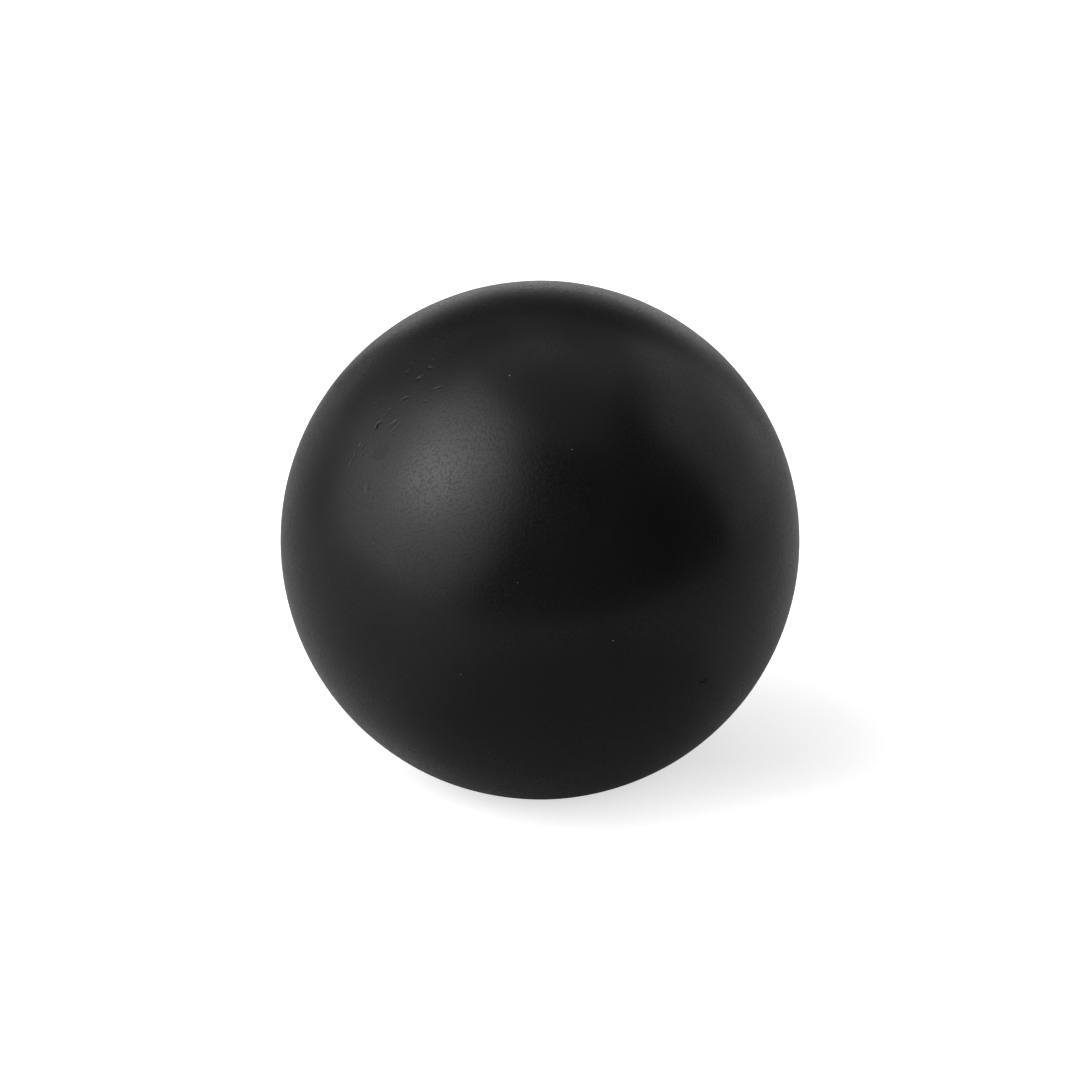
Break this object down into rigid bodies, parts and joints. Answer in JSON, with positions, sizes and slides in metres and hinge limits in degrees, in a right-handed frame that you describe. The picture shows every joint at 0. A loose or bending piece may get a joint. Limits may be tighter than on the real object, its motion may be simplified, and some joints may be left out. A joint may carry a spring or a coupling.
{
  "type": "croquet ball",
  "caption": "Black satin croquet ball: a pressed composition core cemented inside half covers that meet in a flush spigot joint round the equator.",
  "frame": {"origin": "centre of the ball", "axes": "+Z is the common axis of the two half covers, towards the pole of the upper one; the joint between them lies in the XY plane; the picture looks along +Y from above"},
  "size_m": [0.092, 0.092, 0.092],
  "materials": {
    "shell_plastic": "satin",
    "cement": "satin",
    "cork_composition": "matte"
  },
  "bodies": {
    "root": {"upper_shell": "shell_plastic", "lower_shell": "shell_plastic", "seam_cement": "cement", "upper_core_cement": "cement", "lower_core_cement": "cement", "core": "cork_composition"}
  },
  "joints": []
}
